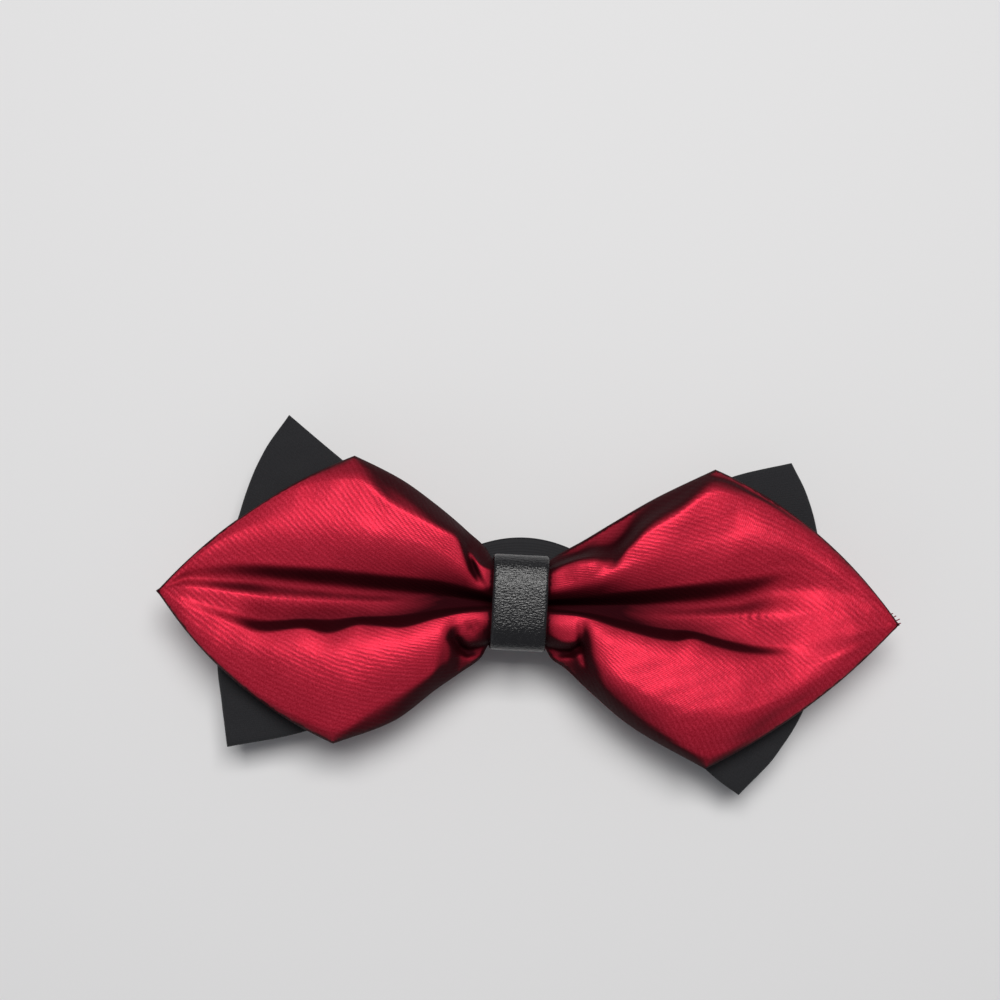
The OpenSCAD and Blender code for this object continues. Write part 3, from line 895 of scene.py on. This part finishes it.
def add_threads(name, node, body, slot, material, paths, radius):
    points, faces = [], []
    for path in paths:
        p, f = tube(path, radius)
        start = sum(len(q) for q in points)
        points.append(p)
        faces += [tuple(start + i for i in face) for face in f]
    mesh = bpy.data.meshes.new(name)
    mesh.from_pydata((np.concatenate(points) * MM).tolist(), [], faces)
    mesh.materials.append(material)
    mesh.update()
    mesh.shade_smooth()
    piece = bpy.data.objects.new(name, mesh)
    bpy.context.scene.collection.objects.link(piece)
    place(piece, body, slot, *([node] if node else []))
    return piece


def coil(node, turns, radius):
    """One thread wound round the pinch that the CAD binding surrounds."""
    low, high = node_box(node)
    middle, half = (low + high) / 2, (high - low) / 2 - radius
    angle = np.linspace(0, math.tau * turns, 40 * turns)
    round_y = np.sign(np.cos(angle)) * np.abs(np.cos(angle)) ** 0.45
    round_z = np.sign(np.sin(angle)) * np.abs(np.sin(angle)) ** 0.45
    x = np.linspace(-1, 1, len(angle))
    return middle + np.stack([x, round_y, round_z], -1) * half


def bar(a, b, lift, steps=7):
    """A stitch from a to b that stands up by lift in its middle."""
    t = np.linspace(0, 1, steps)[:, None]
    a, b = np.array(a, float), np.array(b, float)
    return a * (1 - t) + b * t + np.array([0, 0, lift]) * 4 * t * (1 - t)


def row_across(node, z, lift, count):
    """Stitches along X, spread over the width of the CAD row of stitches."""
    low, high = node_box(node)
    return [bar((low[0], y, z), (high[0], y, z), lift) for y in np.linspace(low[1], high[1], count)]


def make_tip_frays():
    """A few yarn ends that stand out of the seam at the right tip."""
    tip = np.array([KNOT_X + RIGHT_WING["tip"][0], RIGHT_WING["tip"][1], 16.0])
    reach = [(0.5, 0.9, 0.3), (0.7, 0.3, 0.1), (0.1, 1.2, 0.0), (-0.3, 1.3, 0.3)]
    roots = [(-1.4, 0.4, 0), (-1.2, 0.1, 0), (-1.8, 1.0, 0), (-2.4, 1.7, 0)]
    paths = [bar(tip + a, tip + np.array(a) * 0.4 + b, 0.15) for a, b in zip(np.array(roots), reach)]
    add_threads("tip_frays", None, "bow", "red_thread", RED_THREAD, paths, 0.1)


BINDING_RADIUS = 0.13
BINDING_TURNS = 11
ROW_STITCHES = 12
STITCH_LENGTH = 1.2


def make_threads():
    add_threads("front_binding_thread", "front_bow_binding", "bow", "red_thread", RED_THREAD,
                [coil("front_bow_binding", BINDING_TURNS, BINDING_RADIUS)], BINDING_RADIUS)
    add_threads("back_binding_thread", "back_bow_binding", "bow", "black_thread", BLACK_THREAD,
                [coil("back_bow_binding", BINDING_TURNS, BINDING_RADIUS)], BINDING_RADIUS)
    low, high = node_box("centre_band_stitches")
    z = low[2] - 0.06
    starts = np.linspace(low[0], high[0] - STITCH_LENGTH, 4)
    add_threads("band_stitches", "centre_band_stitches", "bow", "black_thread", BLACK_THREAD,
                [bar((x, 0, z), (x + STITCH_LENGTH, 0, z), 0.06) for x in starts], 0.1)
    low, high = node_box("strap_tacks")
    tacks = []
    for y in (low[1] + 0.3, high[1] - 0.3):
        tacks += [bar((low[0], y + d, high[2] - 0.05), (high[0], y + d, high[2] - 0.05), -0.06)
                  for d in (-0.24, 0, 0.24)]
    add_threads("band_tacks", "strap_tacks", "bow", "black_thread", BLACK_THREAD, tacks, 0.12)
    low, high = node_box("slider_end_stitches")
    add_threads("slider_stitches", "slider_end_stitches", "strap_slider", "black_thread", BLACK_THREAD,
                row_across("slider_end_stitches", low[2] - 0.05, 0.07, ROW_STITCHES), 0.11)
    low, high = node_box("eye_loop_stitches")
    add_threads("eye_stitches", "eye_loop_stitches", "bow", "black_thread", BLACK_THREAD,
                row_across("eye_loop_stitches", high[2] + 0.05, -0.07, ROW_STITCHES), 0.11)


# ---------------------------------------------------------------- centre band and strap

def rounded(corners, radius, step=0.6):
    """A path through the corners, each rounded with its own radius."""
    corners = np.array(corners, float)
    path = [corners[0]]
    for before, at, after, r in zip(corners[:-2], corners[1:-1], corners[2:], radius):
        way_in = (at - before) / np.linalg.norm(at - before)
        way_out = (after - at) / np.linalg.norm(after - at)
        t = np.linspace(0, 1, 9)[:, None]
        a, b = at - way_in * r, at + way_out * r
        path += list(a * (1 - t) ** 2 + at * 2 * t * (1 - t) + b * t * t)
    path.append(corners[-1])
    return even_steps(np.array(path), step)


def even_steps(path, step):
    length = np.concatenate([[0], np.cumsum(np.linalg.norm(np.diff(path, axis=0), axis=1))])
    at = np.linspace(0, length[-1], int(length[-1] / step) + 2)
    return np.stack([np.interp(at, length, path[:, k]) for k in range(2)], -1)


def arc(x, z, r, start, end, steps=13):
    angle = np.radians(np.linspace(start, end, steps))
    return np.stack([x + r * np.cos(angle), z + r * np.sin(angle)], -1)


def sweep_strip(name, path, middle, half_w, thick, edge, along_x, material, swell=0.0, shape=None):
    """A strip of fabric or leather along a path of (place, z). It lies across Y if the path
    runs along X, and across X if it runs along Y. Its long edges are rounded over edge."""
    ahead = np.gradient(path, axis=0)
    ahead /= np.linalg.norm(ahead, axis=1)[:, None]
    normal = np.stack([-ahead[:, 1], ahead[:, 0]], -1)
    length = np.concatenate([[0], np.cumsum(np.linalg.norm(np.diff(path, axis=0), axis=1))])
    w = np.sin(np.linspace(-math.pi / 2, math.pi / 2, 25))
    far = np.clip((1 - np.abs(w)) * half_w / edge, 0, 1)
    half_t = thick / 2 * np.sqrt(1 - (1 - far) ** 2 * 0.97)
    puff = swell * (1 - w * w)
    grid = {}
    for side in (1, -1):
        lift = side * half_t + (puff if side > 0 else 0)
        place_z = path[:, None] + normal[:, None] * lift[None, :, None]
        across = middle + w[None] * half_w + np.zeros((len(path), 1))
        if shape is not None:
            across = shape(path[:, None, 0], path[:, None, 1], across)
        parts = [place_z[..., 0], across, place_z[..., 1]]
        if not along_x:
            parts = [across, place_z[..., 0], place_z[..., 1]]
        grid[side] = np.stack(parts, -1)
    cloth = np.stack(np.broadcast_arrays(w[None] * half_w, length[:, None]), -1)
    return shell(name, grid[1], grid[-1], cloth, material)


BAND_HALF_T = 0.45
BAND_EDGE = 0.6


def make_band():
    """One leather strip wound round the knot, its ends lapped over each other at the rear."""
    out_y = BAND_HIGH[1] - BAND_HALF_T
    top, bottom = BAND_HIGH[2] - BAND_HALF_T, BAND_LOW[2] + BAND_HALF_T
    corners = [
        (-5, bottom + 1), (out_y, bottom + 1), (out_y, top - 2.3), (6.3, top - 0.65),
        (3.3, top), (-1.2, top - 0.3), (-5.0, top - 1.0), (-out_y, top - 2.5), (-out_y, bottom),
        (5, bottom),
    ]
    path = rounded(corners, (1.5, 1.1, 1.1, 1.5, 1.8, 1.3, 1.3, 1.6), 0.4)
    band = sweep_strip("leather_band", path, KNOT_X, BAND_HALF, 2 * BAND_HALF_T, BAND_EDGE, False, LEATHER)
    place(band, "bow", "faux_leather", "centre_band")


STRAP_W = 19.0
STRAP_HALF = STRAP_W / 2
STRAP_MID = STRAP_LOW[1] + STRAP_HALF
STRAP_T = 0.7
STRAP_EDGE = 0.35
RUN_HALF = 0.4
RUN_PITCH = 1.2
EYE_TURN = 1.2
RUN_A = STRAP_HIGH[2] - RUN_HALF
RUN_B = STRAP_LOW[2] + RUN_HALF
RUN_C = RUN_A - RUN_PITCH
RUN_C2 = RUN_A - 2 * RUN_PITCH
STRAP_LEFT, STRAP_RIGHT = STRAP_LOW[0] + 3.4, STRAP_HIGH[0] - 1.0


def pulled_in(x, z, y):
    """Behind the knot the strap's front run is drawn together a little."""
    near = smoothstep((22 - np.abs(x - KNOT_X - 2)) / 8)
    behind = (z < STRAP_HIGH[2] - 1) * 0.9
    edge = 12.0 - 0.024 * (x - KNOT_X - 1) ** 2 - behind
    share = np.clip((y - STRAP_MID) / STRAP_HALF, 0, 1)
    return y + near * share * (np.maximum(edge, 8.0) - STRAP_MID - STRAP_HALF)


def add_strip(name, node, body, path, shape=None):
    piece = sweep_strip(name, path, STRAP_MID, STRAP_HALF, STRAP_T, STRAP_EDGE, True, STRAP, 0, shape)
    place(piece, body, "strap_satin", *([node] if node else []))
    return piece


def round_bar(x_open, x_turn, z_low, z_high, start, end):
    """A strip's path from its open side round a bar and back, between two heights."""
    middle, radius = (z_low + z_high) / 2, (z_high - z_low) / 2 - RUN_HALF
    path = np.concatenate([
        [(x_open, z_low + RUN_HALF)], arc(x_turn, middle, radius, start, end),
        [(x_open, z_high - RUN_HALF)],
    ])
    return even_steps(path, 0.4)


def make_folded_runs():
    """The strap from the eye, folded to and fro behind the bows, to its left end."""
    path = np.concatenate([
        [(EYE_BAR[0] - EYE_TAIL, EYE_BAR[1] - EYE_TURN)], arc(*EYE_BAR, EYE_TURN, -90, 90),
        arc(STRAP_LEFT + 3, (RUN_C + RUN_C2) / 2, RUN_PITCH / 2, 270, 90),
        arc(STRAP_RIGHT, (RUN_A + RUN_C) / 2, RUN_PITCH / 2, -90, 90),
        arc(STRAP_LEFT, (RUN_A + RUN_B) / 2, (RUN_A - RUN_B) / 2, 90, 270, 25),
    ])
    folded = add_strip("strap_folded", "neck_strap", "bow", even_steps(path, 0.5), pulled_in)


def make_hook_end():
    """The lowest run, a fixed strip here though on the real strap it lengthens with the slider, and the
    loop that holds the hook.
    """
    low, high = node_box("hook_loop")
    path = np.array([(STRAP_LEFT, RUN_B), (low[0] - 0.1, RUN_B)])
    lowest = add_strip("strap_lowest_run", None, None, even_steps(path, 1.0), pulled_in)
    path = round_bar(low[0], high[0] - 1.6, low[2], high[2], -90, 90)
    loop = add_strip("strap_hook_loop", "hook_loop", "strap_end", path)
    return lowest, low[0]


def make_return_run():
    """The run from the hook's loop back to the slider."""
    low, high = node_box("strap_return")
    z = low[2] + RUN_HALF
    path = even_steps(np.array([(low[0], z), (high[0], z)]), 1.0)
    run = add_strip("strap_return_run", "strap_return", "strap_end", path, pulled_in)
    return run, low[0], high[0]


def make_slider_end():
    """The strap's end, turned round the slider's middle bar."""
    low, high = node_box("slider_wrap")
    radius = (high[2] - low[2]) / 2 - RUN_HALF
    path = round_bar(high[0], low[0] + radius + RUN_HALF, low[2], high[2], 270, 90)
    wrap = add_strip("strap_slider_end", "slider_wrap", "strap_slider", path)


def make_strap():
    make_folded_runs()
    lowest, loop_x = make_hook_end()
    run, run_left, run_right = make_return_run()
    make_slider_end()
    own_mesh(run)
    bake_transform(lowest)


def finish_metal():
    for name in ("slider", "hook", "eye"):
        piece = bpy.data.objects[name]
        piece.data.materials.clear()
        piece.data.materials.append(NICKEL)
        soft = piece.modifiers.new("worn edges", "BEVEL")
        soft.width = 0.00012
        soft.segments = 2
        soft.limit_method = "ANGLE"


make_front_bow()
make_back_bow()
make_band()
make_strap()
make_threads()
make_tip_frays()
finish_metal()
